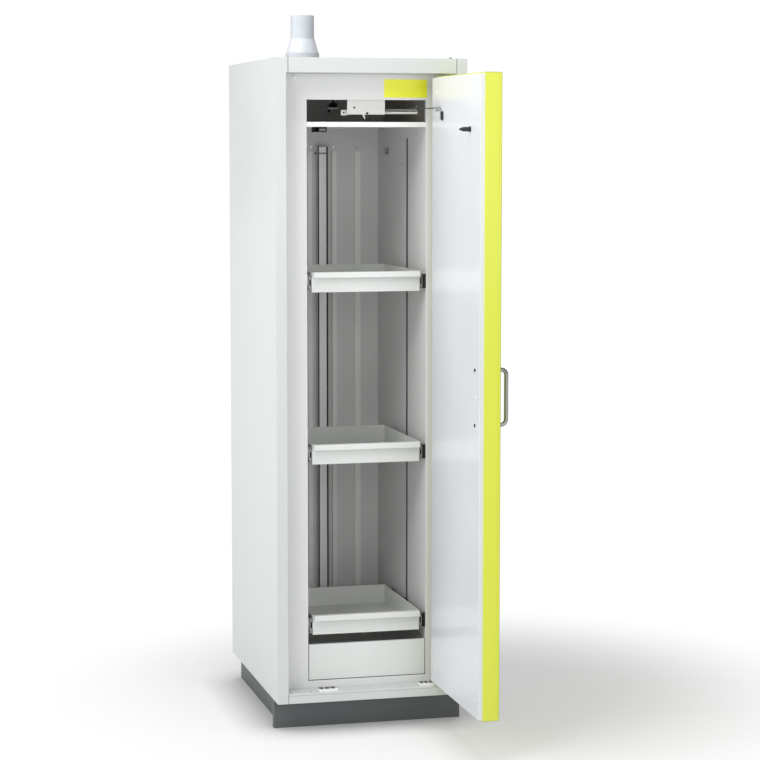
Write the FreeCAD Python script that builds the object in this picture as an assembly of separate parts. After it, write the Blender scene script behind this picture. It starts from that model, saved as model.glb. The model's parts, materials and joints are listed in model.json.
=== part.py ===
import FreeCAD, Part
import math
import os
from FreeCAD import Vector as V

os.makedirs("parts", exist_ok=True)

# Tall narrow safety cabinet for flammable liquids, standing, its one door open at 90 degrees.
# Millimetres. While modelling, Y = 0 is the casing's front face and +Y runs to the back; at the end
# every piece is moved by -D / 2, so the origin is on the floor under the casing's centre.
# +X is to the right as seen from the front, +Z is up.

# ---------------------------------------------------------------- driving dimensions
W = 600.0            # casing width
D = 770.0            # casing depth
H = 2070.0           # casing top above the floor
PLINTH_H = 90.0      # underside of the casing
PLINTH_Y = 65.0      # setback of the plinth's front panel
SHEET = 1.5          # casing sheet
STILE = 34.0         # width of each front stile
FASCIA = 46.0        # height of the top fascia
LEDGE_Z = 120.0      # top of the bottom rail
FRAME_Y = 78.0       # depth of the recess that the door closes into
OPEN_XL = -187.0     # left edge of the door opening
OPEN_XR = 192.0      # right edge of the door opening
OPEN_Z0 = 140.5      # bottom of the opening
OPEN_Z1 = 1945.0     # top of the opening
IN_X = 193.0         # half width of the storage space
IN_Y1 = 700.0        # face of the rear lining
CAVITY_X = 213.0     # face of the side insulation
CAVITY_Y = 722.0     # face of the rear insulation
CEIL_Z = 1990.0      # underside of the roof insulation

HINGE_X = 249.5      # door hinge axis
HINGE_Y = 6.5
DOOR_L = 526.0       # door width
DOOR_T = 63.0        # door thickness
DOOR_TAIL = 13.5     # the door's hinged end lies this far behind the axis
DOOR_Z0 = 130.0
DOOR_Z1 = 2014.5
DOOR_SKIN = 1.2
DOOR_STEP = 13.0     # thickness of the white inner panel
DOOR_INSET = 4.0     # margin of yellow left around the inner panel
PIN_R = 4.0          # hinge pins
RUN = 0.05           # radial running clearance

TRAY_X = 172.0       # half width of a tray
TRAY_Y0 = 82.0       # front wall of a tray
TRAY_Y1 = 522.0      # rear wall of a tray
TRAY_H = 62.7
TRAY_T = 1.5
LIP_Y = 65.0         # front of the tray's lip
LIP_H = 17.5
LIP_X = 169.8
TRAYS = {"upper": 1355.5, "middle": 821.3, "lower": 284.8}   # underside of each tray
RUNNER_Y1 = 512.0

SUMP_XL, SUMP_XR = -184.6, 189.7
SUMP_Y0 = 79.6
SUMP_Y1 = 620.0
SUMP_Z0 = 142.6
SUMP_Z1 = 254.8

SHELF_Z0 = 1862.5    # board between the storage space and the top compartment
SHELF_Z1 = 1877.7

SPIGOT = (-130.0, 400.0)
SPIGOT_R = 37.5      # outside radius of the exhaust spigot
SPIGOT_TOP = 2216.0

HANDLE_Y = -456.0
HANDLE_Z = 1077.5
HANDLE_CC = 161.0
HANDLE_R = 6.2
HANDLE_OUT = 31.5

ROD_P = (184.5, -79.5)   # pivot of the closer's rod on the door bracket
ROD_Q = (162.5, 108.0)   # where the rod crosses the rail with the door open
ROD_Z0, ROD_Z1 = 1916.0, 1921.0
RAIL_X0, RAIL_X1 = -74.0, 169.0
RAIL_Y0, RAIL_Y1 = 101.0, 115.0
RAIL_Z0, RAIL_Z1 = 1902.5, 1909.5

CATCH_Y = -397.0
CATCH_Z = 1852.8

FEET = {"fl": (-225.0, 125.0), "fr": (225.0, 125.0), "rl": (-225.0, 710.0), "rr": (225.0, 710.0)}


# ---------------------------------------------------------------- helpers
def box(x0, x1, y0, y1, z0, z1):
    return Part.makeBox(x1 - x0, y1 - y0, z1 - z0, V(x0, y0, z0))


def cyl(p, d, r, h):
    return Part.makeCylinder(r, h, V(*p), V(*d))


def cone(p, d, r0, r1, h):
    return Part.makeCone(r0, r1, h, V(*p), V(*d))


def prism(pts, axis, a, b):
    """Closed outline in the plane across axis, pushed from a to b along it."""
    if axis == "z":
        v = [V(x, y, a) for x, y in pts]
        e = V(0, 0, b - a)
    elif axis == "x":
        v = [V(a, y, z) for y, z in pts]
        e = V(b - a, 0, 0)
    else:
        v = [V(x, a, z) for x, z in pts]
        e = V(0, b - a, 0)
    return Part.Face(Part.makePolygon(v + [v[0]])).extrude(e)


def fillet(shape, r, pick):
    edges = [e for e in shape.Edges if pick(e)]
    if not edges:
        raise ValueError("no edge to round")
    return shape.makeFillet(r, edges)


def along(e, axis):
    if len(e.Vertexes) < 2 or e.Curve.TypeId != "Part::GeomLine":
        return False
    a, b = e.Vertexes[0].Point, e.Vertexes[1].Point
    d = [abs(b.x - a.x), abs(b.y - a.y), abs(b.z - a.z)]
    i = "xyz".index(axis)
    return d[i] > 1e-6 and sum(d) - d[i] < 1e-6


def near(e, **at):
    c = e.CenterOfMass
    return all(abs(getattr(c, k) - v) < 0.02 for k, v in at.items())


def ribbon(pts, t):
    """Outline of a folded sheet of thickness t whose middle line is pts."""
    a, b = [], []
    for i, (x, y) in enumerate(pts):
        ns = []
        for (x0, y0), (x1, y1) in zip(pts[max(i - 1, 0):i + 1], pts[max(i, 1):i + 2]):
            d = math.hypot(x1 - x0, y1 - y0)
            ns.append((-(y1 - y0) / d, (x1 - x0) / d))
        nx, ny = ns[0][0] + ns[-1][0], ns[0][1] + ns[-1][1]
        k = t / (nx * nx + ny * ny)
        a.append((x + nx * k, y + ny * k))
        b.append((x - nx * k, y - ny * k))
    return a + b[::-1]


def mirror(shape):
    return shape.mirror(V(0, 0, 0), V(1, 0, 0))


def union(shapes):
    s = shapes[0]
    for o in shapes[1:]:
        s = s.fuse(o)
    return s.removeSplitter()


def one(shape):
    """The single solid of a boolean result."""
    if len(shape.Solids) != 1:
        raise ValueError("expected one solid, got %d" % len(shape.Solids))
    return shape.Solids[0]


count = 0


def put(name, *shapes):
    """Writes one node: one solid, or a group of separate solids."""
    global count
    solids = []
    for s in shapes:
        solids += s.Solids
    moved = []
    for s in solids:
        s = s.copy()
        s.translate(V(0, -D / 2, 0))
        if not s.isValid() or s.Volume <= 0:
            raise ValueError("bad solid in " + name)
        moved.append(s)
    out = moved[0] if len(moved) == 1 else Part.makeCompound(moved)
    out.exportStep("parts/%s.step" % name)
    count += 1


# ---------------------------------------------------------------- casing
hw = W / 2
sx = hw - STILE          # inner edge of a stile
# each side is one folded sheet: side, stile, and the recess wall that the door closes beside
side = prism(
    [(-hw, D), (-hw, 0), (-sx, 0), (-sx, FRAME_Y), (-sx - SHEET, FRAME_Y), (-sx - SHEET, SHEET),
     (-hw + SHEET, SHEET), (-hw + SHEET, D)],
    "z", PLINTH_H, H)
side = fillet(side, 2.6, lambda e: along(e, "z") and near(e, x=-hw, y=0))
side = fillet(side, 2.2, lambda e: along(e, "z") and near(e, x=-sx, y=0))
side = fillet(side, 1.2, lambda e: along(e, "y") and near(e, x=-hw, z=H))
# beside the fascia the front sheet is wider
side = side.fuse(box(-sx - 3, -sx + 5, 0, SHEET, H - FASCIA, H)).removeSplitter()
side_r = mirror(side)
put("casing_left", one(side))
put("casing_right", one(side_r))

top = box(-hw + SHEET, hw - SHEET, SHEET, D - SHEET, H - SHEET, H)
top = top.cut(cyl((SPIGOT[0], SPIGOT[1], H - 5), (0, 0, 1), 41.0, 10))
put("casing_top", one(top.cut(side).cut(side_r)))      # notched around the recess walls
put("casing_rear", box(-hw + SHEET, hw - SHEET, D - SHEET, D, PLINTH_H + SHEET, H))

floor = box(-hw + SHEET, hw - SHEET, SHEET, D, PLINTH_H, PLINTH_H + SHEET)
bosses = [cyl((x, y, 60.0), (0, 0, 1), 14.0, PLINTH_H - 60.0) for x, y in FEET.values()]
floor = union([floor] + bosses)
for x, y in FEET.values():
    floor = floor.cut(cyl((x, y, 50.0), (0, 0, 1), 6.0 + RUN, PLINTH_H - 50.0))
put("casing_floor", one(floor.cut(side).cut(side_r)))

gx = sx - 0.15
fascia = prism(
    [(0, H - SHEET), (0, H - FASCIA), (FRAME_Y, H - FASCIA), (FRAME_Y, H - FASCIA + SHEET), (SHEET, H - FASCIA + SHEET), (SHEET, H - SHEET)],
    "x", -gx, gx)
# the front sheet ends level with the top of the roof sheet
fascia = union([fascia, box(-gx, gx, 0, SHEET, H - SHEET, H)])
fascia = fillet(fascia, 2.2, lambda e: along(e, "x") and near(e, y=0, z=H - FASCIA))
fascia = fillet(fascia, 1.2, lambda e: along(e, "x") and near(e, y=0, z=H))
for s in (-1, 1):
    a, b = sorted((s * (gx + 1), s * (sx - 5.15)))
    fascia = fascia.cut(box(a, b, -1, SHEET + 0.15, H - FASCIA - 1, H + 1))
put("top_fascia", one(fascia))

rail = prism(
    [(0, PLINTH_H), (0, LEDGE_Z), (FRAME_Y, LEDGE_Z), (FRAME_Y, LEDGE_Z - SHEET), (SHEET, LEDGE_Z - SHEET), (SHEET, PLINTH_H)],
    "x", -gx, gx)
rail = fillet(rail, 2.2, lambda e: along(e, "x") and near(e, y=0, z=LEDGE_Z))
rail = union([rail, box(-gx + 3, gx - 3, 56, 62, LEDGE_Z - 0.5, LEDGE_Z + 1.4)])     # low strip near the back of the ledge
put("bottom_rail", one(rail))

# frame at the back of the recess, its opening edged with a turned-back flange
fx = sx + SHEET
frame = box(-fx, fx, FRAME_Y, FRAME_Y + SHEET, LEDGE_Z - SHEET, H - FASCIA + SHEET)
flange = box(OPEN_XL - SHEET, OPEN_XR + SHEET, FRAME_Y + SHEET - 0.5, FRAME_Y + 20, OPEN_Z0 - SHEET, OPEN_Z1 + SHEET)
frame = union([frame, flange])
frame = frame.cut(box(OPEN_XL, OPEN_XR, FRAME_Y - 5, FRAME_Y + 30, OPEN_Z0, OPEN_Z1))
frame = fillet(frame, 1.2, lambda e: near(e, y=FRAME_Y) and (
    (along(e, "z") and min(abs(e.CenterOfMass.x - OPEN_XL), abs(e.CenterOfMass.x - OPEN_XR)) < 0.02)
    or (along(e, "x") and (abs(e.CenterOfMass.z - OPEN_Z0) < 0.02 or abs(e.CenterOfMass.z - OPEN_Z1) < 0.02))))
# two uprights with the top and bottom panels set between them
for a in (OPEN_XL - 0.02, OPEN_XR):
    frame = frame.cut(box(a, a + 0.02, FRAME_Y - 5, FRAME_Y + 30, OPEN_Z1 - 3, H))
    frame = frame.cut(box(a, a + 0.02, FRAME_Y - 5, FRAME_Y + 30, LEDGE_Z - 5, OPEN_Z0 + 3))
put("front_frame", *frame.Solids)

# ---------------------------------------------------------------- insulation boards
board = prism(
    [(-hw + SHEET, SHEET), (-fx, SHEET), (-fx, FRAME_Y + SHEET), (-CAVITY_X, FRAME_Y + SHEET), (-CAVITY_X, D - SHEET), (-hw + SHEET, D - SHEET)],
    "z", PLINTH_H + SHEET, H - SHEET)
put("side_insulation", board, mirror(board))
put("rear_insulation", box(-CAVITY_X, CAVITY_X, CAVITY_Y, D - SHEET, PLINTH_H + SHEET, H - SHEET))
roof = union([
    box(-gx, gx, SHEET, FRAME_Y + SHEET, H - FASCIA + SHEET, H - SHEET),
    box(-CAVITY_X, CAVITY_X, FRAME_Y + SHEET, CAVITY_Y, CEIL_Z, H - SHEET)])
roof = roof.cut(cyl((SPIGOT[0], SPIGOT[1], CEIL_Z - 5), (0, 0, 1), 46.0, 100))
put("roof_insulation", one(roof))
base = union([
    box(-gx, gx, SHEET, FRAME_Y + SHEET, PLINTH_H + SHEET, LEDGE_Z - SHEET),
    box(-CAVITY_X, CAVITY_X, FRAME_Y + SHEET, CAVITY_Y, PLINTH_H + SHEET, OPEN_Z0 - SHEET)])
put("floor_insulation", one(base))

# ---------------------------------------------------------------- inner lining
lin_y0 = FRAME_Y + 20
liner = box(-IN_X - SHEET, -IN_X, lin_y0, IN_Y1 + SHEET, OPEN_Z0 - SHEET, SHELF_Z1 - 3)
slot = box(-IN_X - 5, -IN_X + 5, 307, 332, 152, 1829)
put("liner_left", one(liner.cut(slot)))
vent = box(-IN_X - 5, -IN_X + 5, 556, 668, 1776.5, 1800)
put("liner_right", one(mirror(liner.cut(slot).cut(vent))))
put("liner_rear", one(union([box(-IN_X, IN_X, IN_Y1, IN_Y1 + SHEET, OPEN_Z0, CEIL_Z),
                             box(-CAVITY_X, CAVITY_X, IN_Y1, IN_Y1 + SHEET, SHELF_Z1, CEIL_Z)])))
put("liner_floor", box(-IN_X, IN_X, lin_y0, IN_Y1, OPEN_Z0 - SHEET, OPEN_Z0))
shelf = box(OPEN_XL + 0.3, OPEN_XR - 0.3, FRAME_Y + 3, lin_y0 + 1, SHELF_Z0, SHELF_Z1)
shelf = union([shelf, box(-IN_X, IN_X, lin_y0 + 0.3, IN_Y1, SHELF_Z0, SHELF_Z1),
               box(-CAVITY_X + 0.3, CAVITY_X - 0.3, lin_y0 + 0.3, IN_Y1, SHELF_Z1 - 3, SHELF_Z1)])
shelf = fillet(shelf, 1.0, lambda e: along(e, "x") and near(e, y=FRAME_Y + 3))
put("top_shelf", one(shelf))

# channels behind the wall slots, which the runners' brackets hook into
ch = prism(
    [(-CAVITY_X, 300), (-IN_X - SHEET, 300), (-IN_X - SHEET, 301.5), (-CAVITY_X + 1.5, 301.5), (-CAVITY_X + 1.5, 339.5),
     (-IN_X - SHEET, 339.5), (-IN_X - SHEET, 341), (-CAVITY_X, 341)],
    "z", 145, 1850)
hooks = None
for k in range(33):
    z = 180 + 50 * k
    h = box(-CAVITY_X - 2, -CAVITY_X + 3, 316, 325, z, z + 18)
    hooks = h if hooks is None else hooks.fuse(h)
ch = one(ch.cut(hooks))
put("side_channels", ch, mirror(ch))

# upright profile in the middle of the rear wall, dark strips along both sides of it, and four flat ribs
prof = prism(
    [(-16.0, 672), (8.5, 672), (8.5, IN_Y1), (7.3, IN_Y1), (7.3, 673.2), (-14.8, 673.2), (-14.8, IN_Y1), (-16.0, IN_Y1)],
    "z", 160, 1802)
put("rear_profile", prof)
dark = [box(8.6, 12.8, 673, IN_Y1, 160, 1802), box(-20.3, -16.1, 673, IN_Y1, 160, 1802)]
ribs = [box(a, b, 693.5, IN_Y1, 160, 1786.5) for a, b in ((33.5, 48.5), (112, 131), (-50, -35), (-131, -112))]
put("rear_strips", *(dark + ribs))

# ---------------------------------------------------------------- plinth and feet
u = prism(
    [(-271, PLINTH_Y + SHEET), (-271, D - 2), (271, D - 2), (271, PLINTH_Y + SHEET), (269, PLINTH_Y + SHEET), (269, D - 4), (-269, D - 4), (-269, PLINTH_Y + SHEET)],
    "z", 0, PLINTH_H)
put("plinth_frame", one(u))
pp = union([box(-hw, hw, PLINTH_Y, PLINTH_Y + SHEET, 0, PLINTH_H),
            box(-hw, -hw + SHEET, PLINTH_Y + SHEET, PLINTH_Y + 22, 0, PLINTH_H),
            box(hw - SHEET, hw, PLINTH_Y + SHEET, PLINTH_Y + 22, 0, PLINTH_H)])
pp = fillet(pp, 1.4, lambda e: along(e, "z") and abs(abs(e.CenterOfMass.x) - hw) < 0.02 and abs(e.CenterOfMass.y - PLINTH_Y) < 0.02)
put("plinth_panel", one(pp))
for key, (x, y) in FEET.items():
    foot = union([cyl((x, y, 0), (0, 0, 1), 22, 7), cone((x, y, 7), (0, 0, 1), 22, 11, 5),
                  cyl((x, y, 12), (0, 0, 1), 6, 74)])
    hexa = prism([(x + 10 * math.cos(math.radians(60 * i)), y + 10 * math.sin(math.radians(60 * i))) for i in range(6)], "z", 12, 20)
    put("levelling_foot_" + key, one(union([foot, hexa])))

# ---------------------------------------------------------------- fittings in the recess and opening
def sill(x0, x1):
    s = prism([(8, LEDGE_Z), (8, LEDGE_Z + 4.4), (9, LEDGE_Z + 5.0), (19, LEDGE_Z + 5.0), (21, LEDGE_Z + 7.2), (46, LEDGE_Z + 7.2), (46, LEDGE_Z)], "x", x0, x1)
    w = (x1 - x0 - 10) / 3.0
    for i in range(3):
        a = x0 + 3 + i * (w + 2)
        s = s.cut(box(a, a + w, 20, 43, LEDGE_Z + 1.0, LEDGE_Z + 10))
    return one(s)


put("sill_blocks", sill(-167, -108), sill(158, 206))

# clip under the shelf that receives the door's catch
rx = HINGE_X + (CATCH_Y - HINGE_Y)          # where the catch arrives when the door is shut
rec = box(rx - 9.6, rx + 31.0, 83, 116, 1846.8, SHELF_Z0)
rec = rec.cut(box(rx - 8.0, rx + 8.0, 80, 113, 1840, SHELF_Z0 - 1.4))
rec = fillet(rec, 1.5, lambda e: along(e, "z") and abs(e.CenterOfMass.y - 83) < 0.02 and abs(e.CenterOfMass.x - rx - 31.0) < 0.02)
put("catch_receiver", one(rec))

put("blank_plate", box(56.5, 192.5, FRAME_Y - 0.8, FRAME_Y, 1952.5, 2008))
strips = [box(-sx, -sx + 2, 42, 62, 126, 2020), box(sx - 2, sx, 42, 62, 126, 2020), box(-sx + 6, sx - 6, 42, 62, H - FASCIA - 2, H - FASCIA)]
put("intumescent_strips", *strips)

# ---------------------------------------------------------------- door, open at 90 degrees
dx0, dx1 = HINGE_X + HINGE_Y - DOOR_T, HINGE_X + HINGE_Y       # inner and outer faces
dy1 = HINGE_Y + DOOR_TAIL
dy0 = dy1 - DOOR_L
xs = dx0 + DOOR_STEP                                           # where the white step meets the yellow edge
t = DOOR_SKIN
skin = box(xs, dx1, dy0, dy1, DOOR_Z0, DOOR_Z1)
skin = fillet(skin, 2.0, lambda e: (along(e, "z") or along(e, "y")) and abs(e.CenterOfMass.x - dx1) < 0.02)
skin = fillet(skin, 1.6, lambda e: along(e, "x"))
skin = skin.cut(box(xs + t, dx1 - t, dy0 + t, dy1 - t, DOOR_Z0 + t, DOOR_Z1 - t))
hem = 15.0
skin = skin.cut(box(xs - 5, xs + 5, dy0 + hem, dy1 - hem, DOOR_Z0 + hem, DOOR_Z1 - hem))
# fold line in the edge, 8 mm behind the outer face
ring = box(dx1 - 8.6, dx1 - 8.0, dy0 - 5, dy1 + 5, DOOR_Z0 - 5, DOOR_Z1 + 5).cut(
    box(dx1 - 9, dx1 - 7, dy0 + 0.45, dy1 - 0.45, DOOR_Z0 + 0.45, DOOR_Z1 - 0.45))
skin = skin.cut(ring)
bush_z = ((DOOR_Z0 + t, DOOR_Z0 + 66), (DOOR_Z1 - 66, DOOR_Z1 - t))
for z in (DOOR_Z0 - 5, DOOR_Z1 - 5):
    skin = skin.cut(cyl((HINGE_X, HINGE_Y, z), (0, 0, 1), PIN_R + 0.6, 10))
bolts = [(HANDLE_Y, HANDLE_Z - HANDLE_CC / 2), (HANDLE_Y, HANDLE_Z + HANDLE_CC / 2)]
for y, z in bolts:
    skin = skin.cut(cyl((dx1 - 5, y, z), (1, 0, 0), 3.1, 10))
put("door_skin", one(skin))

panel = box(dx0, xs, dy0 + DOOR_INSET, dy1 - DOOR_INSET, DOOR_Z0 + DOOR_INSET, DOOR_Z1 - DOOR_INSET)
panel = fillet(panel, 1.6, lambda e: along(e, "x"))
panel = fillet(panel, 1.2, lambda e: abs(e.CenterOfMass.x - dx0) < 0.02)
panel = panel.cut(box(dx0 + 1, xs + 5, dy0 + DOOR_INSET + 1, dy1 - DOOR_INSET - 1, DOOR_Z0 + DOOR_INSET + 1, DOOR_Z1 - DOOR_INSET - 1))
for y, z in bolts:
    panel = panel.cut(cyl((dx0 - 5, y, z), (1, 0, 0), 3.1, 10))
put("door_inner_panel", one(panel))

core = union([
    box(xs + t, dx1 - t, dy0 + t, dy1 - t, DOOR_Z0 + t, DOOR_Z1 - t),
    box(dx0 + 1, xs + t, dy0 + hem, dy1 - hem, DOOR_Z0 + hem, DOOR_Z1 - hem)])
bx0, by0 = dx1 - 34, dy1 - 38
for z0, z1 in bush_z:
    core = core.cut(box(bx0, dx1, by0, dy1, z0 - 2, z1) if z0 < 1000 else box(bx0, dx1, by0, dy1, z0, z1 + 2))
for y, z in bolts:
    core = core.cut(cyl((dx0 - 5, y, z), (1, 0, 0), 3.1, 100))
put("door_core", one(core))

bushes = []
for z0, z1 in bush_z:
    b = box(bx0, dx1 - t, by0, dy1 - t, z0, z1)
    b = b.cut(cyl((HINGE_X, HINGE_Y, DOOR_Z0 - 5), (0, 0, 1), PIN_R + RUN, 31 + 5) if z0 < 1000
              else cyl((HINGE_X, HINGE_Y, DOOR_Z1 - 31), (0, 0, 1), PIN_R + RUN, 40))
    bushes.append(one(b))
put("hinge_bushes", *bushes)

pins = []
plate = box(HINGE_X - 25, sx - 0.3, SHEET, 30, LEDGE_Z, LEDGE_Z + 3)
pin = union([plate, cyl((HINGE_X, HINGE_Y, LEDGE_Z + 3), (0, 0, 1), PIN_R, DOOR_Z0 + 28 - LEDGE_Z - 3),
             cyl((HINGE_X, HINGE_Y, LEDGE_Z + 3), (0, 0, 1), 5.5, DOOR_Z0 - 0.4 - LEDGE_Z - 3)])
pins.append(one(pin))
zt = H - FASCIA
plate = box(HINGE_X - 25, sx - 0.3, SHEET, 30, zt - 3, zt)
pin = union([plate, cyl((HINGE_X, HINGE_Y, DOOR_Z1 - 28), (0, 0, 1), PIN_R, zt - 3 - DOOR_Z1 + 28),
             cyl((HINGE_X, HINGE_Y, DOOR_Z1 + 0.4), (0, 0, 1), 5.5, zt - 3 - DOOR_Z1 - 0.4)])
pins.append(one(pin))
put("hinge_pins", *pins)

# bow handle
hx = dx1 + HANDLE_OUT
zl, zh = bolts[0][1], bolts[1][1]
rb = 16.0
k = rb * (1 - math.sqrt(0.5))
path = Part.Wire([
    Part.LineSegment(V(dx1, HANDLE_Y, zl), V(hx - rb, HANDLE_Y, zl)).toShape(),
    Part.Arc(V(hx - rb, HANDLE_Y, zl), V(hx - k, HANDLE_Y, zl + k), V(hx, HANDLE_Y, zl + rb)).toShape(),
    Part.LineSegment(V(hx, HANDLE_Y, zl + rb), V(hx, HANDLE_Y, zh - rb)).toShape(),
    Part.Arc(V(hx, HANDLE_Y, zh - rb), V(hx - k, HANDLE_Y, zh - k), V(hx - rb, HANDLE_Y, zh)).toShape(),
    Part.LineSegment(V(hx - rb, HANDLE_Y, zh), V(dx1, HANDLE_Y, zh)).toShape()])
prof_c = Part.Wire([Part.makeCircle(HANDLE_R, V(dx1, HANDLE_Y, zl), V(1, 0, 0))])
grip = path.makePipeShell([prof_c], True, False)
grip = grip.Solids[0] if grip.Solids else Part.Solid(grip)
if grip.Volume < 0:
    grip.reverse()
for y, z in bolts:
    grip = grip.cut(cyl((dx1 - 1, y, z), (1, 0, 0), 2.6, 11))
put("door_handle", one(grip))

hb = []
for y, z in bolts:
    b = union([cyl((dx0 - 2.2, y, z), (1, 0, 0), 5.0, 2.2), cyl((dx0 - 0.5, y, z), (1, 0, 0), 2.5, dx1 + 9.5 - dx0)])
    b = b.cut(prism([(y + 2.3 * math.cos(math.radians(60 * i)), z + 2.3 * math.sin(math.radians(60 * i))) for i in range(6)], "x", dx0 - 3, dx0 - 0.8))
    hb.append(one(b))
put("handle_bolts", *hb)

# tapered catch that enters the receiver
cz = CATCH_Z
horn = union([cyl((dx0, CATCH_Y, cz), (-1, 0, 0), 9.0, 2.0), cone((dx0 - 2, CATCH_Y, cz), (-1, 0, 0), 7.2, 6.6, 19),
              cone((dx0 - 21, CATCH_Y, cz), (-1, 0, 0), 6.6, 2.6, 12)])
horn = fillet(horn, 1.6, lambda e: abs(e.CenterOfMass.x - (dx0 - 33)) < 0.05 and e.Curve.TypeId == "Part::GeomCircle")
put("door_catch", one(horn))

caps = []
for y, z in ((-35.0, 1964.4), (-34.2, 189.0), (-462.6, 188.0), (-460.6, 1079.7), (-99.4, 258.6)):
    c = cyl((dx0, y, z), (-1, 0, 0), 5.0, 1.6)
    c = fillet(c, 0.9, lambda e: abs(e.CenterOfMass.x - (dx0 - 1.6)) < 0.02 and e.Curve.TypeId == "Part::GeomCircle")
    caps.append(c)
put("door_caps", *caps)

# ---------------------------------------------------------------- door closer in the top compartment
px, py = ROD_P
qx, qy = ROD_Q
cb = fillet(box(dx0 - 3, dx0, -111, -89, 1881, 1914), 8.0, lambda e: along(e, "x"))
cb = union([
    cb,
    box(px - 4.4, dx0 - 1, -101, py + 4.6, ROD_Z0 - 6.5, ROD_Z0 - 3.4),
    box(px - 4.4, px + 4.4, py - 4.6, py + 4.6, ROD_Z0 - 4.0, ROD_Z0 - 0.4),
    cyl((px, py, ROD_Z0 - 3), (0, 0, 1), 2.5, ROD_Z1 - ROD_Z0 + 3.4),
    cyl((px, py, ROD_Z1 + 0.3), (0, 0, 1), 4.0, 2.0),
    cyl((dx0 - 2, -100, 1905.5), (-1, 0, 0), 5.5, 4.5),
    cyl((dx0 - 2, -100, 1890), (-1, 0, 0), 5.5, 4.5)])
put("closer_bracket", one(cb))

ux, uy = (qx - px) / math.hypot(qx - px, qy - py), (qy - py) / math.hypot(qx - px, qy - py)
zm = (ROD_Z0 + ROD_Z1) / 2
L = (RAIL_Y1 + 1 - py) / uy          # to the head, which meets the back of the rail when the door is open
rod = union([
    cyl((px, py, ROD_Z0), (0, 0, 1), 4.6, ROD_Z1 - ROD_Z0),
    cyl((px + 4 * ux, py + 4 * uy, zm), (ux, uy, 0), 1.9, L - 3.5),
    cyl((px + L * ux, py + L * uy, zm), (ux, uy, 0), 5.0, 3.5)])
rod = rod.cut(cyl((px, py, ROD_Z0 - 1), (0, 0, 1), 2.5 + RUN, 10))
put("closer_rod", one(rod))

# rail; over its right end the rod slides on a wire between an upright stop and a pin
ya, yb = RAIL_Y0, RAIL_Y1
rail3 = prism(
    [(ya, RAIL_Z0), (yb, RAIL_Z0), (yb, RAIL_Z1), (yb - 1.4, RAIL_Z1), (yb - 1.4, RAIL_Z0 + 1.4), (ya + 1.4, RAIL_Z0 + 1.4), (ya + 1.4, RAIL_Z1), (ya, RAIL_Z1)],
    "x", RAIL_X0 + 2, RAIL_X1)
tab = box(RAIL_X0, RAIL_X0 + 19.5, ya - 2, ya, RAIL_Z0 - 4.5, RAIL_Z0 + 11.8).cut(cyl((RAIL_X0 + 8, ya - 10, 1906), (0, 1, 0), 2.2, 9.5))
rail3 = union([
    rail3, tab,
    box(RAIL_X0 + 2, RAIL_X0 + 3.4, ya + 1, yb - 1, RAIL_Z0 + 0.5, RAIL_Z1),
    box(69.5, 71.0, ya - 0.6, yb, RAIL_Z0 - 1.0, ROD_Z0),
    cyl((70.5, (ya + yb) / 2, ROD_Z0 - 1.1), (1, 0, 0), 1.1, RAIL_X1 - 72.0),
    cyl((RAIL_X1 - 1.6, (ya + yb) / 2, RAIL_Z0 + 1), (0, 0, 1), 1.6, 24.0),
    cyl((RAIL_X1 - 1.6, (ya + yb) / 2, RAIL_Z0 + 23), (0, 0, 1), 2.2, 2.0)])
put("closer_rail", one(rail3))

lx, lz = 4.5, 1904.0
plate = box(-58, 61, 86, 88, 1900.5, OPEN_Z1).cut(cyl((-35.8, 80, 1921.4), (0, 1, 0), 3.3, 12))
plate = union([
    plate,
    box(-57, 60, 88, 96, OPEN_Z1 - 2, OPEN_Z1),                  # turned-back top
    box(-50, -48, 87, yb, RAIL_Z1, OPEN_Z1 - 1),                 # bracket over the rail
    box(RAIL_X0 + 20, 60, 88, yb, RAIL_Z0 - 2, RAIL_Z0)])                 # turned-back bottom that carries the rail
plate = plate.cut(box(lx - 20, lx + 12, 88, 91.5, RAIL_Z0 - 5, RAIL_Z0 + 1))
plate = plate.cut(box(lx - 20, lx + 12, 84, 88.5, 1899, 1901.6))
plate = plate.cut(cyl((lx, 80, lz), (0, 1, 0), 2.0 + RUN, 20))
put("closer_plate", one(plate))
lever = prism([(-14, 1904.5), (-14, 1901.5), (-10.5, 1900.5), (-3.2, 1887.4), (-0.4, 1887.0), (-2.6, 1895.0), (-4.2, 1899.6), (13, 1899.5), (13, 1907), (lx - 6, 1908)], "y", 88.2, 89.8)
lever = union([lever, cyl((lx, 85, lz), (0, 1, 0), 2.0, 4.0), cyl((lx, 84.2, lz), (0, 1, 0), 3.6, 1.6)])
put("release_lever", one(lever))

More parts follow.
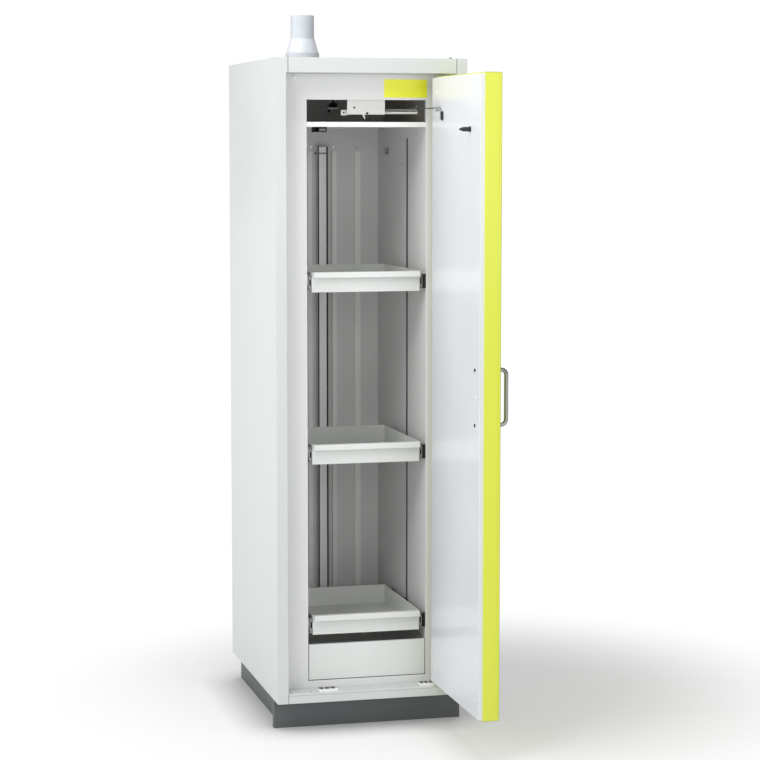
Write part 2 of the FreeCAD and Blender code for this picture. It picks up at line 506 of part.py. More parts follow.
# ---------------------------------------------------------------- runners and trays
outers = []
for name, z0 in TRAYS.items():
    zc = z0 + TRAY_H / 2 - 1
    x0 = TRAY_X
    # tray body, folded from one sheet, with a lip that stands out in front
    z1 = z0 + TRAY_H
    tr = box(-TRAY_X, TRAY_X, TRAY_Y0, TRAY_Y1, z0, z1)
    tr = fillet(tr, 2.0, lambda e: along(e, "x") and abs(e.CenterOfMass.z - z0) < 0.02)
    tr = fillet(tr, 1.6, lambda e: along(e, "z"))
    tr = tr.cut(box(-TRAY_X + TRAY_T, TRAY_X - TRAY_T, TRAY_Y0 + TRAY_T, TRAY_Y1 - TRAY_T, z0 + TRAY_T, z1 + 5))
    lip = prism([(TRAY_Y0 + 0.8, z1), (LIP_Y, z1), (LIP_Y, z1 - LIP_H), (LIP_Y + 9, z1 - LIP_H), (LIP_Y + 9, z1 - LIP_H + TRAY_T),
                 (LIP_Y + TRAY_T, z1 - LIP_H + TRAY_T), (LIP_Y + TRAY_T, z1 - TRAY_T), (TRAY_Y0 + 0.8, z1 - TRAY_T)],
                "x", -LIP_X, LIP_X)
    lip = fillet(lip, 1.3, lambda e: along(e, "x") and abs(e.CenterOfMass.y - LIP_Y) < 0.02)
    tr = union([tr, lip])
    put(name + "_tray", one(tr))
    # three nested folded profiles; the middle one is curled over its ball tracks
    def track(half, y0, thick=1.4):
        up = [(x0 + u, zc + v) for u, v in half]
        dn = [(x0 + u, zc - v) for u, v in half[::-1]]
        return prism(ribbon(up + dn, thick), "y", y0, RUNNER_Y1)
    inner = track([(5.8, 10.2), (0.7, 10.2)], 84)
    mid = track([(1.9, 15.6), (3.5, 17.4), (6.1, 17.4), (8.0, 14.8)], 85, 1.9)
    outer = track([(2.6, 20.4), (2.6, 22.3), (12.3, 22.3)], 84)
    # bracket pads that carry the outer member off the lining and hook into the channel
    def carried(edge):
        return one(union([outer, box(x0 + 12.9, edge - 0.4, 84, 97, zc - 22, zc + 22),
                          box(x0 + 12.9, IN_X, 300, 342, zc - 22, zc + 22), box(x0 + 12.9, IN_X, 470, 500, zc - 22, zc + 22)]))
    # ball rows, one above and one below in each gap, kept with the middle member
    cages = []
    for s in (1, -1):
        cages.append(cyl((x0 + 4.4, 87, zc + s * 13.5), (0, 1, 0), 2.0, 330))
        cages.append(cyl((x0 + 6.6, 87, zc + s * 19.95), (0, 1, 0), 1.3, 210))
    put("runner_inner_" + name, inner, mirror(inner))
    put("runner_middle_" + name, mid, mirror(mid), *(cages + [mirror(c) for c in cages]))
    outers += [carried(OPEN_XR), mirror(carried(-OPEN_XL))]
put("runner_outers", *outers)

# ---------------------------------------------------------------- collecting sump
su = box(SUMP_XL, SUMP_XR, SUMP_Y0, SUMP_Y1, SUMP_Z0, SUMP_Z1)
su = fillet(su, 2.0, lambda e: along(e, "x") and abs(e.CenterOfMass.z - SUMP_Z0) < 0.02)
su = fillet(su, 1.6, lambda e: along(e, "z"))
su = su.cut(box(SUMP_XL + 1.5, SUMP_XR - 1.5, SUMP_Y0 + 1.5, SUMP_Y1 - 1.5, SUMP_Z0 + 1.5, SUMP_Z1 + 5))
# turned-in edge along the top of the front
su = union([su, box(SUMP_XL + 1.4, SUMP_XR - 1.4, SUMP_Y0 + 1.4, SUMP_Y0 + 12, SUMP_Z1 - 1.5, SUMP_Z1)])
put("sump_tray", one(su))

# ---------------------------------------------------------------- exhaust
sxp, syp = SPIGOT
prof_s = [(35.0, H), (53.5, H), (53.5, H + 27.3), (52.0, H + 29.3), (50.5, H + 29.8), (SPIGOT_R + 2.2, H + 70.3), (SPIGOT_R + 1.8, H + 72.3), (SPIGOT_R, H + 72.9), (SPIGOT_R, SPIGOT_TOP - 1.0), (36.8, SPIGOT_TOP), (35.0, SPIGOT_TOP)]
w = Part.makePolygon([V(sxp + r, syp, z) for r, z in prof_s] + [V(sxp + prof_s[0][0], syp, prof_s[0][1])])
sp = Part.Face(w).revolve(V(sxp, syp, 0), V(0, 0, 1), 360)
sp = sp.Solids[0] if sp.Solids else Part.Solid(sp)
put("exhaust_spigot", sp)
duct = cyl((sxp, syp, CEIL_Z), (0, 0, 1), 40.0, H - CEIL_Z - 0.2)
duct = union([duct, cyl((sxp, syp, CEIL_Z - 3), (0, 0, 1), 58.0, 3.0)])
duct = duct.cut(cyl((sxp, syp, CEIL_Z - 10), (0, 0, 1), 38.5, 100))
dz = 2030.0
duct = duct.cut(cyl((sxp - 60, syp, dz), (1, 0, 0), 2.5 + RUN, 120))
put("exhaust_duct", one(duct))
flap = union([cyl((sxp, syp - 1, dz), (0, 1, 0), 37.5, 2.0), cyl((sxp - 43, syp, dz), (1, 0, 0), 2.5, 86.0)])
put("damper_flap", one(flap))

# ---------------------------------------------------------------- screws on the lining and closer plate
heads = []
for x, z in ((38.5, 1800), (118.0, 1800), (-38.5, 1800), (-118.0, 1800)):
    heads.append(cyl((x, IN_Y1, z), (0, -1, 0), 3.4, 1.4))
for z in (1296.0, 760.0, 1780.0):
    heads.append(cyl((0.0, 672, z), (0, -1, 0), 3.4, 1.4))
for s in (1, -1):
    for y, z in ((196.0, 1840.0), (387.0, 1745.0), (196.0, 300.0), (387.0, 300.0)):
        heads.append(cyl((s * IN_X, y, z), (-s, 0, 0), 3.4, 1.4))
heads.append(cyl((41.0, 86.0, 1921.0), (0, -1, 0), 3.4, 1.4))
put("panel_screws", *heads)
put("roof_cap", cyl((HINGE_X, 12.0, H), (0, 0, 1), 4.5, 3.0))       # covers the upper end of the hinge line

print("nodes written:", count)
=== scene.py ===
import bpy
import bmesh
import json
import math
import random
from mathutils import Matrix, Vector


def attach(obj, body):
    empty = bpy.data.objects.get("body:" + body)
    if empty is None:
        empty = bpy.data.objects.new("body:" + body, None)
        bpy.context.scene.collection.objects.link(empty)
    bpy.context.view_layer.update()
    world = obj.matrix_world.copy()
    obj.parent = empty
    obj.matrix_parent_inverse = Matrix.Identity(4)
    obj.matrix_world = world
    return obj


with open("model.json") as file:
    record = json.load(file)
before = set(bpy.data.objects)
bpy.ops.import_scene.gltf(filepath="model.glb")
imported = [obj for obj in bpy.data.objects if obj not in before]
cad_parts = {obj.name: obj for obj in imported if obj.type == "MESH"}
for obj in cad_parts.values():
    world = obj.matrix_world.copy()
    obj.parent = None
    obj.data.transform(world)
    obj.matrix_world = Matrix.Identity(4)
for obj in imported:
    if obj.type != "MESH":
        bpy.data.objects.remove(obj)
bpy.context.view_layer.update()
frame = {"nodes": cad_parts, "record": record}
N = frame["nodes"]
random.seed(11)

# ================================================================ node helpers
D2 = 0.385          # half depth of the casing: y measured from its front face, minus D2, is the frame's y


def new_mat(name):
    m = bpy.data.materials.new(name)
    m.use_nodes = True
    nt = m.node_tree
    for n in list(nt.nodes):
        nt.nodes.remove(n)
    out = nt.nodes.new("ShaderNodeOutputMaterial")
    b = nt.nodes.new("ShaderNodeBsdfPrincipled")
    nt.links.new(b.outputs[0], out.inputs[0])
    return m, nt, b


def coords(nt, scale=(1, 1, 1), offset=(0, 0, 0), rot=(0, 0, 0)):
    tc = nt.nodes.new("ShaderNodeTexCoord")
    mp = nt.nodes.new("ShaderNodeMapping")
    mp.inputs["Scale"].default_value = scale
    mp.inputs["Location"].default_value = offset
    mp.inputs["Rotation"].default_value = rot
    nt.links.new(tc.outputs["Object"], mp.inputs[0])
    return mp.outputs[0]


def noise(nt, vec, scale, detail=2.0, rough=0.5, dist=0.0):
    n = nt.nodes.new("ShaderNodeTexNoise")
    n.inputs["Scale"].default_value = scale
    n.inputs["Detail"].default_value = detail
    n.inputs["Roughness"].default_value = rough
    n.inputs["Distortion"].default_value = dist
    nt.links.new(vec, n.inputs["Vector"])
    return n.outputs["Fac"]


def ramp(nt, fac, stops):
    r = nt.nodes.new("ShaderNodeValToRGB")
    el = r.color_ramp.elements
    el[0].position, el[0].color = stops[0][0], tuple(stops[0][1]) + (1,)
    el[1].position, el[1].color = stops[-1][0], tuple(stops[-1][1]) + (1,)
    for p, c in stops[1:-1]:
        e = el.new(p)
        e.color = tuple(c) + (1,)
    nt.links.new(fac, r.inputs[0])
    return r.outputs[0]


def maprange(nt, fac, a, b, c, d):
    n = nt.nodes.new("ShaderNodeMapRange")
    n.inputs[1].default_value, n.inputs[2].default_value = a, b
    n.inputs[3].default_value, n.inputs[4].default_value = c, d
    nt.links.new(fac, n.inputs[0])
    return n.outputs[0]


def mix(nt, fac, a, b, mode="MIX"):
    n = nt.nodes.new("ShaderNodeMix")
    n.data_type = "RGBA"
    n.blend_type = mode
    for sock, v in ((n.inputs[0], fac), (n.inputs[6], a), (n.inputs[7], b)):
        if isinstance(v, (int, float)):
            sock.default_value = v
        elif isinstance(v, (tuple, list)):
            sock.default_value = tuple(v) + (1,) if len(v) == 3 else v
        else:
            nt.links.new(v, sock)
    return n.outputs[2]


def math_node(nt, op, a, b=None):
    n = nt.nodes.new("ShaderNodeMath")
    n.operation = op
    for sock, v in ((n.inputs[0], a), (n.inputs[1], b)):
        if v is None:
            continue
        if isinstance(v, (int, float)):
            sock.default_value = v
        else:
            nt.links.new(v, sock)
    return n.outputs[0]


def bump(nt, height, strength, distance, normal=None):
    n = nt.nodes.new("ShaderNodeBump")
    n.inputs["Strength"].default_value = strength
    n.inputs["Distance"].default_value = distance
    nt.links.new(height, n.inputs["Height"])
    if normal is not None:
        nt.links.new(normal, n.inputs["Normal"])
    return n.outputs[0]


def tint(c, k):
    return tuple(min(1.0, max(0.0, v * k)) for v in c)


def powder(name, base, rough=0.42, coat=0.0, peel=0.10, low_darkening=0.0, shift=(1.0, 1.0, 1.0)):
    """Powder coat: fine grain, soft orange peel, slight patches in tone and sheen, the colour a little darker low down.
    """
    m, nt, b = new_mat(name)
    v = coords(nt)
    patch = noise(nt, v, 2.3, 3.0, 0.55)
    fine = noise(nt, v, 760.0, 2.0, 0.6)
    orange = noise(nt, v, 150.0, 2.0, 0.5)
    c = ramp(nt, patch, [(0.3, tint(base, 0.975)), (0.7, tuple(min(1.0, base[i] * 1.02 * shift[i]) for i in range(3)))])
    speck = ramp(nt, fine, [(0.35, (0.94, 0.94, 0.94)), (0.65, (1, 1, 1))])
    c = mix(nt, 0.35, c, speck, "MULTIPLY")
    # the colour turns greyer towards the bottom, in patches
    if low_darkening:
        s = nt.nodes.new("ShaderNodeSeparateXYZ")
        nt.links.new(v, s.inputs[0])
        low = maprange(nt, s.outputs[2], 0.02, 0.55, low_darkening, 0.0)
        low = math_node(nt, "MULTIPLY", low, maprange(nt, patch, 0.3, 0.7, 0.6, 1.0))
        c = mix(nt, low, c, (0.42, 0.42, 0.40))
    nt.links.new(c, b.inputs["Base Color"])
    nt.links.new(maprange(nt, patch, 0.3, 0.7, rough - 0.03, rough + 0.05), b.inputs["Roughness"])
    h = bump(nt, fine, 0.22, 0.00010)
    h = bump(nt, orange, peel, 0.00035, h)
    nt.links.new(h, b.inputs["Normal"])
    b.inputs["Coat Weight"].default_value = coat
    b.inputs["Coat Roughness"].default_value = 0.12
    b.inputs["Specular IOR Level"].default_value = 0.42
    return m


def plastic(name, base, rough=0.4, grain=260.0, depth=0.00008, sub=0.0):
    m, nt, b = new_mat(name)
    v = coords(nt)
    patch = noise(nt, v, 9.0, 3.0, 0.6)
    g = noise(nt, v, grain, 3.0, 0.55)
    nt.links.new(ramp(nt, patch, [(0.3, tint(base, 0.95)), (0.7, tint(base, 1.03))]), b.inputs["Base Color"])
    nt.links.new(maprange(nt, g, 0.3, 0.7, rough - 0.06, rough + 0.08), b.inputs["Roughness"])
    nt.links.new(bump(nt, g, 0.3, depth), b.inputs["Normal"])
    b.inputs["Specular IOR Level"].default_value = 0.45
    b.inputs["Subsurface Weight"].default_value = sub
    return m


def brushed(name, base, rough=0.32, along="z", metallic=1.0, scale=1.0):
    """Drawn or plated steel: long fine marks along one axis, mottled sheen."""
    m, nt, b = new_mat(name)
    st = {"x": (6, 420, 420), "y": (420, 6, 420), "z": (420, 420, 6)}[along]
    v = coords(nt, tuple(s * scale for s in st))
    lines = noise(nt, v, 1.0, 4.0, 0.65)
    patch = noise(nt, coords(nt), 34.0, 3.0, 0.6)
    c = ramp(nt, lines, [(0.32, tint(base, 0.80)), (0.68, tint(base, 1.12))])
    c = mix(nt, maprange(nt, patch, 0.4, 0.7, 0.0, 0.35), c, tint(base, 0.8))
    nt.links.new(c, b.inputs["Base Color"])
    nt.links.new(maprange(nt, lines, 0.3, 0.7, rough - 0.07, rough + 0.09), b.inputs["Roughness"])
    nt.links.new(bump(nt, lines, 0.25, 0.00006), b.inputs["Normal"])
    b.inputs["Metallic"].default_value = metallic
    return m


def board(name, base, rough=0.5):
    """Pressed mineral board: fibres and small pits."""
    m, nt, b = new_mat(name)
    v = coords(nt)
    f = noise(nt, coords(nt, (90, 90, 600)), 1.0, 5.0, 0.7)
    p = noise(nt, v, 240.0, 4.0, 0.7)
    c = ramp(nt, f, [(0.3, tint(base, 0.86)), (0.7, tint(base, 1.05))])
    c = mix(nt, maprange(nt, p, 0.25, 0.4, 0.5, 0.0), c, tint(base, 0.6))
    nt.links.new(c, b.inputs["Base Color"])
    b.inputs["Roughness"].default_value = 0.92
    nt.links.new(bump(nt, p, 0.6, 0.0006), b.inputs["Normal"])
    return m


def srgb(r, g, b):
    def f(c):
        c = c / 255.0
        return c / 12.92 if c <= 0.04045 else ((c + 0.055) / 1.055) ** 2.4
    return (f(r), f(g), f(b))


# ================================================================ materials
M = {}
M["casing_grey"] = powder("casing_grey", srgb(204, 208, 206), 0.40, 0.06, low_darkening=0.02)
M["recess_grey"] = powder("recess_grey", srgb(226, 226, 226), 0.40, 0.05)
M["insulation"] = board("insulation", srgb(214, 208, 196))
M["lining_grey"] = powder("lining_grey", srgb(223, 223, 222), 0.46)
M["shelf_board"] = plastic("shelf_board", srgb(246, 248, 247), 0.36, 420.0, 0.00005)
M["dark_steel"] = brushed("dark_steel", (0.10, 0.10, 0.105), 0.36, "z")
M["profile_white"] = powder("profile_white", srgb(253, 250, 253), 0.36, 0.1)
M["rib_grey"] = powder("rib_grey", srgb(246, 246, 243), 0.48)
# dark plastic, also used as painted shadow in gaps
M["dark_and_gap_shade"] = plastic("dark_and_gap_shade", (0.03, 0.03, 0.03), 0.7)
M["door_cap"] = plastic("door_cap", srgb(224, 225, 226), 0.38)
M["joint_line"] = plastic("joint_line", (0.05, 0.052, 0.05), 0.7)
# lighter copy of the spigot plastic for the cone, for the light it catches from above: painted light
M["spigot_cone_painted_light"] = plastic("spigot_cone_painted_light", srgb(206, 209, 216), 0.36, 120.0, 0.00012, 0.04)
M["plinth_grey"] = powder("plinth_grey", srgb(79, 85, 86), 0.46, 0.0, low_darkening=0.08)
M["zinc_steel"] = brushed("zinc_steel", (0.55, 0.56, 0.57), 0.34, "z")
M["white_plastic"] = plastic("white_plastic", srgb(240, 240, 238), 0.38)
M["black_plastic"] = plastic("black_plastic", (0.018, 0.018, 0.019), 0.42)
M["plate_yellow"] = plastic("plate_yellow", srgb(244, 244, 48), 0.28, 300.0, 0.00004)
M["strip_rubber"] = plastic("strip_rubber", (0.50, 0.50, 0.50), 0.7, 180.0, 0.0002)
M["door_yellow"] = powder("door_yellow", srgb(217, 226, 62), 0.32, 0.25, low_darkening=0.04)
M["door_white"] = powder("door_white", srgb(219, 221, 224), 0.34, 0.30)
M["handle_grey"] = brushed("handle_grey", (0.34, 0.34, 0.33), 0.28, "z")
M["bolt_black"] = brushed("bolt_black", (0.05, 0.05, 0.05), 0.35, "x")
M["closer_grey"] = powder("closer_grey", srgb(214, 215, 210), 0.42)
M["runner_steel"] = brushed("runner_steel", (0.055, 0.055, 0.058), 0.38, "y")
M["steel_edge"] = brushed("steel_edge", (0.50, 0.51, 0.51), 0.42, "x", 0.4)
M["notch_painted_shade"] = plastic("notch_painted_shade", (0.20, 0.20, 0.20), 0.6)
# near-white wall colour for the shaded top compartment, lighter than the board elsewhere: painted light
M["compartment"] = plastic("compartment", (0.93, 0.94, 0.94), 0.55)
M["yellow_fold_painted_shade"] = plastic("yellow_fold_painted_shade", (0.16, 0.15, 0.03), 0.5)
M["channel_grey"] = plastic("channel_grey", (0.24, 0.24, 0.24), 0.5)
M["casing_corner_painted_shade"] = powder("casing_corner_painted_shade", srgb(190, 194, 192), 0.46)
M["receiver_face"] = plastic("receiver_face", (0.13, 0.13, 0.13), 0.5)
M["notch_top_painted_shade"] = plastic("notch_top_painted_shade", (0.42, 0.42, 0.42), 0.5)
M["dull_black"] = plastic("dull_black", (0.006, 0.006, 0.006), 0.6)
M["dull_black"].node_tree.nodes["Principled BSDF"].inputs["Specular IOR Level"].default_value = 0.15
M["dark_lining"] = plastic("dark_lining", (0.10, 0.10, 0.10), 0.6)
M["tray_white"] = powder("tray_white", srgb(223, 225, 222), 0.38, 0.05)
M["sump_white"] = powder("sump_white", srgb(222, 225, 222), 0.38, 0.05)
M["spigot_plastic"] = plastic("spigot_plastic", srgb(189, 194, 200), 0.40, 120.0, 0.00012, 0.04)
M["rod_steel"] = brushed("rod_steel", (0.30, 0.30, 0.30), 0.38, "y")
M["flap_steel"] = brushed("flap_steel", (0.5, 0.5, 0.5), 0.4, "x")

slot_of = {s["node"]: s["material_slot"] for s in frame["record"]["subparts"]}
for name, o in N.items():
    key = slot_of[name]
    key = {"front_frame": "recess_grey", "closer_rod": "rod_steel", "catch_receiver": "dull_black", "door_caps": "door_cap", "hinge_pins": "rod_steel", "side_channels": "channel_grey"}.get(name, key)
    o.data.materials.clear()
    o.data.materials.append(M[key])


def front_ends(o, mat, depth=0.003):
    """The cut ends of the profiles show bare steel."""
    o.data.materials.append(M[mat])
    mw = o.matrix_world
    y0 = min((mw @ v.co).y for v in o.data.vertices)
    for p in o.data.polygons:
        n = mw.to_3x3() @ p.normal
        if n.y < -0.9 and (mw @ p.center).y < y0 + depth:
            p.material_index = 1


for k in ("upper", "middle", "lower"):
    front_ends(N["runner_middle_" + k], "steel_edge")
    front_ends(N["runner_inner_" + k], "steel_edge")


def paint(name, mat, test):
    """Gives the polygons that pass a test, on centre and normal in the frame, a second material."""
    o = N[name]
    o.data.materials.append(M[mat])
    k = len(o.data.materials) - 1
    mw = o.matrix_world
    r = mw.to_3x3()
    for p in o.data.polygons:
        if test(mw @ p.center, r @ p.normal):
            p.material_index = k


# dark strips beside the upright profile: partly dark rubber, partly painted shadow of its gaps; the left strip's left
# face gets the lining grey
paint("rear_strips", "dark_and_gap_shade", lambda c, n: -0.0225 < c.x < 0.0145)
paint("rear_strips", "lining_grey", lambda c, n: -0.0225 < c.x < -0.015 and n.x < -0.9)
paint("runner_outers", "steel_edge", lambda c, n: n.y < -0.9 and c.y < -0.2985 and abs(c.x) < 0.1846)
paint("release_lever", "dull_black", lambda c, n: c.y < -0.2975)
# the rounded corner between side and front gets a darker grey than the casing, holding back its highlight: painted
# shade
paint("casing_left", "casing_corner_painted_shade", lambda c, n: n.x < -0.15 and n.y < -0.15)
# sill blocks: grey top faces, dark notch floors and dark notch back walls: painted shade
paint("sill_blocks", "notch_top_painted_shade", lambda c, n: n.z > 0.9 and c.z > 0.1268)
paint("sill_blocks", "notch_painted_shade", lambda c, n: (n.z > 0.9 and c.z < 0.1215) or (n.y < -0.9 and c.y > -0.3435))
paint("closer_bracket", "zinc_steel", lambda c, n: c.z > 1.9085)
paint("closer_rail", "dark_and_gap_shade", lambda c, n: c.x > 0.1655 and 1.9152 < c.z < 1.9245)
# the spigot's cone gets the lighter plastic: painted light from above
paint("exhaust_spigot", "spigot_cone_painted_light", lambda c, n: 2.0988 < c.z < 2.1418 and 0.1 < n.z < 0.9)
# the fillets along the door skin's free edge are painted dark olive: painted shade on the fold
paint("door_skin", "yellow_fold_painted_shade", lambda c, n: c.y < -0.8888 and abs(n.y) < 0.97)
# walls of the top compartment get the near-white colour: painted light
for k in [k for k in N if "insulation" in k]:
    paint(k, "compartment", lambda c, n: c.z > 1.878 and n.z < 0.9)

# ================================================================ mesh helpers
def obj_from(name, bm, mat, body, smooth=True, angle=35.0):
    me = bpy.data.meshes.new(name)
    bmesh.ops.recalc_face_normals(bm, faces=bm.faces)
    bm.to_mesh(me)
    bm.free()
    o = bpy.data.objects.new(name, me)
    bpy.context.scene.collection.objects.link(o)
    me.materials.append(M[mat])
    if smooth:
        for p in me.polygons:
            p.use_smooth = True
        me.set_sharp_from_angle(angle=math.radians(angle))
    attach(o, body)
    return o


def V(x, y, z):
    """Millimetres, y from the casing's front face, to the frame in metres."""
    return Vector((x / 1000.0, y / 1000.0 - D2, z / 1000.0))


def lathe(bm, base, axis, prof, n=48, closed=False):
    """Turns (radius, height) pairs about an axis through base; mm."""
    ax = Vector(axis).normalized()
    t = Vector((0, 0, 1)) if abs(ax.z) < 0.9 else Vector((1, 0, 0))
    u = ax.cross(t).normalized()
    w = ax.cross(u).normalized()
    rings = []
    for r, h in prof:
        c = base + ax * (h / 1000.0)
        if r < 1e-6:
            rings.append([bm.verts.new(c)])
        else:
            rings.append([bm.verts.new(c + (u * math.cos(2 * math.pi * i / n) + w * math.sin(2 * math.pi * i / n)) * (r / 1000.0)) for i in range(n)])
    pairs = list(zip(rings, rings[1:]))
    if closed:
        pairs.append((rings[-1], rings[0]))
    for a, b in pairs:
        for i in range(n):
            j = (i + 1) % n
            if len(a) == 1 and len(b) == 1:
                continue
            if len(a) == 1:
                bm.faces.new((a[0], b[i], b[j]))
            elif len(b) == 1:
                bm.faces.new((a[i], b[0], a[j]))
            else:
                bm.faces.new((a[i], b[i], b[j], a[j]))
    return rings


def slab(bm, lo, hi, bevel=0.0, seg=2):
    """Rounded block between two corners, mm."""
    a, b = V(*lo), V(*hi)
    r = bmesh.ops.create_cube(bm, size=1.0)
    vs = r["verts"]
    c, s = (a + b) / 2, b - a
    for v in vs:
        v.co = Vector((c.x + v.co.x * s.x, c.y + v.co.y * s.y, c.z + v.co.z * s.z))
    if bevel:
        es = list({e for v in vs for e in v.link_edges})
        bmesh.ops.bevel(bm, geom=es, offset=bevel / 1000.0, segments=seg, affect="EDGES", profile=0.5)


# ================================================================ small fittings
bm = bmesh.new()
lathe(bm, V(-226, 78, 2012), (0, -1, 0), [(0, 0), (6.5, 0), (6.5, 0.8), (5.6, 1.9), (3.5, 2.6), (0, 2.8)], 40)
obj_from("recess_button", bm, "white_plastic", "cabinet")

# scoop behind the vent opening of the right wall; its colour darkens to near black towards its lower front corner:
# painted shade
m, nt, b = new_mat("vent_scoop")
b.inputs["Roughness"].default_value = 0.6
sp = nt.nodes.new("ShaderNodeSeparateXYZ")
nt.links.new(coords(nt), sp.inputs[0])
u = maprange(nt, sp.outputs[1], 0.255, 0.178, 0.0, 1.0)
t = maprange(nt, sp.outputs[2], 1.800, 1.7765, 0.55, 1.0)
k = math_node(nt, "MULTIPLY", u, t)
nt.links.new(mix(nt, k, srgb(225, 225, 224), (0.02, 0.02, 0.02)), b.inputs["Base Color"])
M["vent_scoop"] = m
bm = bmesh.new()
slab(bm, (195, 551, 1771), (197, 673, 1806))
obj_from("vent_scoop", bm, "vent_scoop", "cabinet")

# dark joints beside the fascia and in the bottom rail; dark strips in the gap round the sump's front: painted shadow
bm = bmesh.new()
for x in (-261.0, 266.0):
    slab(bm, (x - 0.9, -0.04, 2025.0), (x + 0.9, 0.6, 2069.2))
for x in (-266.0, 266.0):
    slab(bm, (x - 0.6, -0.04, 91.0), (x + 0.6, 0.6, 119.0))
slab(bm, (-265.5, -0.04, 114.1), (265.5, 0.4, 114.7))
obj_from("joint_lines", bm, "joint_line", "cabinet")
# dark strips in the gap round the sump: painted shadow
bm = bmesh.new()
slab(bm, (-186.95, 81.5, 141), (-184.7, 90, 254))
slab(bm, (189.8, 81.5, 141), (191.95, 90, 254))
slab(bm, (-186.95, 81.5, 140.55), (191.95, 90, 142.5))
obj_from("sump_gap_shadow", bm, "dark_and_gap_shade", "cabinet")

# clamp across the upright profile and its cap, and a dark strip along the profile's right side: painted shadow of its
# gap
bm = bmesh.new()
slab(bm, (-19.5, 669.6, 1778.6), (12.0, 672, 1781.6), 0.5)
slab(bm, (-26.0, 688.0, 1777.4), (-19.0, 692.0, 1782.6), 1.0)
slab(bm, (-16.6, 671.4, 1802.0), (9.1, 700, 1803.4), 0.3)
# dark strip beside the profile: painted shadow
slab(bm, (12.7, 672.8, 160.0), (14.4, 675, 1802.0))
obj_from("profile_clamp", bm, "dark_and_gap_shade", "cabinet")

# small fittings in the top compartment; a dark disc behind the plate's left hole and a dark disc for the drain on the
# ledge: painted shade of the holes
bm = bmesh.new()
lathe(bm, V(-35.8, 88.4, 1921.4), (0, -1, 0), [(0, 0), (4.2, 0), (4.2, 0.4), (0, 0.4)], 24)
lathe(bm, V(-191.8, 19.6, 120.0), (0, 0, 1), [(0, 0), (2.4, 0), (2.4, 0.2), (0, 0.2)], 24)
slab(bm, (-40, 398, 1927), (-17, 420, 1941), 1.0)
slab(bm, (-45, 398, 1911), (-39.5, 420, 1921), 1.0)
slab(bm, (-30, 408, 1941), (-26, 414, 1989.8))
obj_from("top_fittings", bm, "dull_black", "cabinet")
bm = bmesh.new()
slab(bm, (-46, 400, 1921.5), (-12, 420, 1926.5), 0.6)
obj_from("top_fitting_bar", bm, "zinc_steel", "cabinet")
bm = bmesh.new()
slab(bm, (-147, 82.6, 1849.8), (-127, 83.4, 1857.2))
obj_from("receiver_face", bm, "receiver_face", "cabinet")

# screw in the rail's tab, screws in the bracket on the door
bm = bmesh.new()
lathe(bm, V(-66, 99.0, 1906), (0, -1, 0), [(0, 0), (2.8, 0), (2.8, 0.5), (2.2, 0.9), (0, 0.9)], 24)
obj_from("tab_screw", bm, "dull_black", "cabinet")
bm = bmesh.new()
for z in (1890.0, 1905.5):
    lathe(bm, V(186.5, -100, z), (-1, 0, 0), [(0, 0), (2.9, 0), (2.9, 0.5), (2.2, 1.1), (1.2, 1.1), (1.0, 0.5), (0, 0.5)], 24)
obj_from("bracket_screws", bm, "zinc_steel", "door")

# rear panel: domed screws along its edges
bm = bmesh.new()
for x in (-289.0, 289.0):
    for k in range(8):
        lathe(bm, V(x, 770.0, 130.0 + 272.0 * k), (0, 1, 0), [(0, 0), (4.2, 0), (4.0, 0.7), (3.0, 1.5), (1.4, 1.9), (1.1, 1.2), (0, 1.2)], 24)
for x in (-160.0, 0.0, 160.0):
    for z in (103.0, 2056.0):
        lathe(bm, V(x, 770.0, z), (0, 1, 0), [(0, 0), (4.2, 0), (4.0, 0.7), (3.0, 1.5), (1.4, 1.9), (1.1, 1.2), (0, 1.2)], 24)
obj_from("rear_screws", bm, "zinc_steel", "cabinet")

# ================================================================ stage, light and camera
sc = bpy.context.scene
fm, nt, b = new_mat("studio_floor")
b.inputs["Roughness"].default_value = 0.75
b.inputs["Specular IOR Level"].default_value = 0.1
# far out the floor is a white glow; nearer the object the glow fades to a third and the lit floor with its shadows
# shows; an AO term darkens the floor's colour and its glow near contact: painted contact shade
em = nt.nodes.new("ShaderNodeEmission")
em.inputs[0].default_value = (1, 1, 1, 1)
em.inputs[1].default_value = 1.02
v = coords(nt, (1, 1, 0), (-0.30, 0.0, 0))
ln = nt.nodes.new("ShaderNodeVectorMath")
ln.operation = "LENGTH"
nt.links.new(v, ln.inputs[0])
fr = nt.nodes.new("ShaderNodeMapRange")
fr.interpolation_type = "SMOOTHERSTEP"
fr.inputs[1].default_value, fr.inputs[2].default_value = 0.40, 1.65
nt.links.new(ln.outputs["Value"], fr.inputs[0])
fr.inputs[3].default_value = 0.33
# AO darkens the floor's colour near the object: painted contact shade
ao = nt.nodes.new("ShaderNodeAmbientOcclusion")
ao.inputs["Distance"].default_value = 0.16
ao.samples = 8
painted_contact_shade = maprange(nt, ao.outputs["AO"], 0.45, 1.0, 0.48, 1.0)
nt.links.new(mix(nt, 1.0, (0.84, 0.84, 0.84), painted_contact_shade, "MULTIPLY"), b.inputs["Base Color"])
ms = nt.nodes.new("ShaderNodeMixShader")
nt.links.new(math_node(nt, "MULTIPLY", fr.outputs[0], painted_contact_shade), ms.inputs[0])
nt.links.new(b.outputs[0], ms.inputs[1])
nt.links.new(em.outputs[0], ms.inputs[2])
nt.links.new(ms.outputs[0], [n for n in nt.nodes if n.type == "OUTPUT_MATERIAL"][0].inputs[0])
me = bpy.data.meshes.new("studio_floor")
S = 60.0
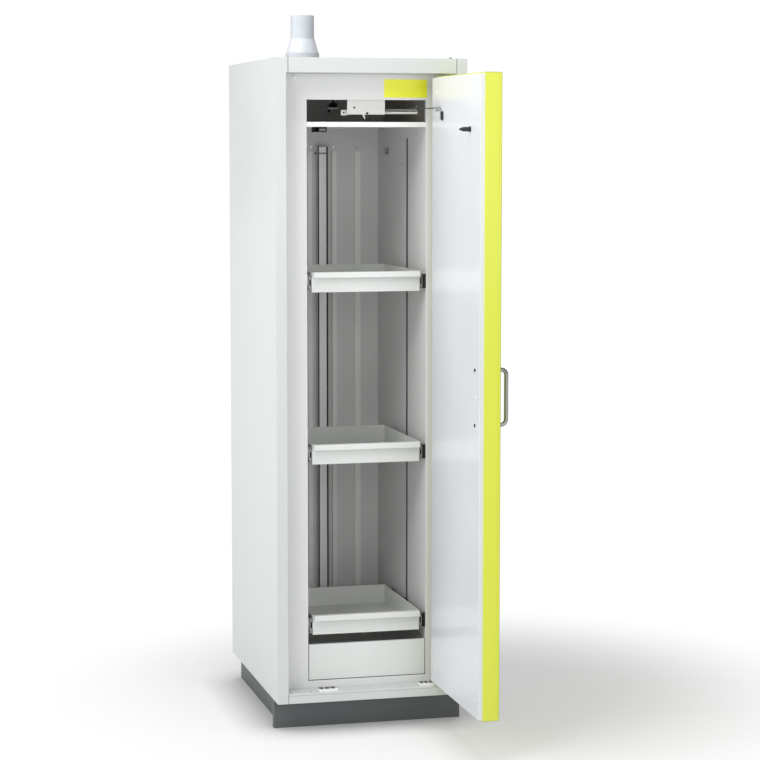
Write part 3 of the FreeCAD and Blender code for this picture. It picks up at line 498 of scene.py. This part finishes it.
me.from_pydata([(-S, -S, 0), (S, -S, 0), (S, S, 0), (-S, S, 0)], [], [(0, 1, 2, 3)])
me.materials.append(fm)
floor = bpy.data.objects.new("studio_floor", me)
sc.collection.objects.link(floor)

w = bpy.data.worlds.new("studio")
sc.world = w
w.use_nodes = True
bg = w.node_tree.nodes["Background"]
lp = w.node_tree.nodes.new("ShaderNodeLightPath")
mr = w.node_tree.nodes.new("ShaderNodeMapRange")
mr.inputs[3].default_value = 0.28
mr.inputs[4].default_value = 1.05
w.node_tree.links.new(lp.outputs["Is Camera Ray"], mr.inputs[0])
w.node_tree.links.new(mr.outputs[0], bg.inputs[1])
bg.inputs[0].default_value = (1.0, 1.0, 1.0, 1)


def area(name, at, to, size, power, spread=180.0):
    l = bpy.data.lights.new(name, "AREA")
    l.shape = "RECTANGLE"
    l.size, l.size_y = size
    l.energy = power
    l.spread = math.radians(spread)
    o = bpy.data.objects.new(name, l)
    o.location = at
    o.rotation_euler = (Vector(to) - Vector(at)).to_track_quat("-Z", "Y").to_euler()
    o.visible_camera = False
    sc.collection.objects.link(o)
    return o


area("key", (-3.0, -3.1, 4.5), (0, 0, 1.4), (2.2, 2.2), 91)
area("door", (-1.6, -1.0, 3.4), (0.25, -0.65, 1.95), (0.5, 0.5), 1.25, 60.0)
area("front", (0.6, -7.5, 2.5), (0, 0, 1.3), (4.0, 3.0), 92)
area("front_left", (-4.2, -7.6, 2.0), (0, 0, 1.2), (3.0, 3.0), 42)
area("left", (-3.2, -0.3, 2.0), (0, -0.3, 1.6), (3.2, 3.0), 54)
area("top", (-0.3, -1.2, 5.6), (0, 0, 0.5), (3.0, 3.0), 92)

cam = bpy.data.cameras.new("camera")
cam.lens = 108.74
cam.sensor_width = 36.0
cam.clip_end = 200.0
co = bpy.data.objects.new("camera", cam)
co.location = (-1.6908, -7.1910, 1.8072)
co.rotation_euler = (math.radians(90 - 5.844), 0, math.radians(-14.14))
sc.collection.objects.link(co)
sc.camera = co
sc.view_settings.view_transform = "Standard"
sc.view_settings.look = "None"
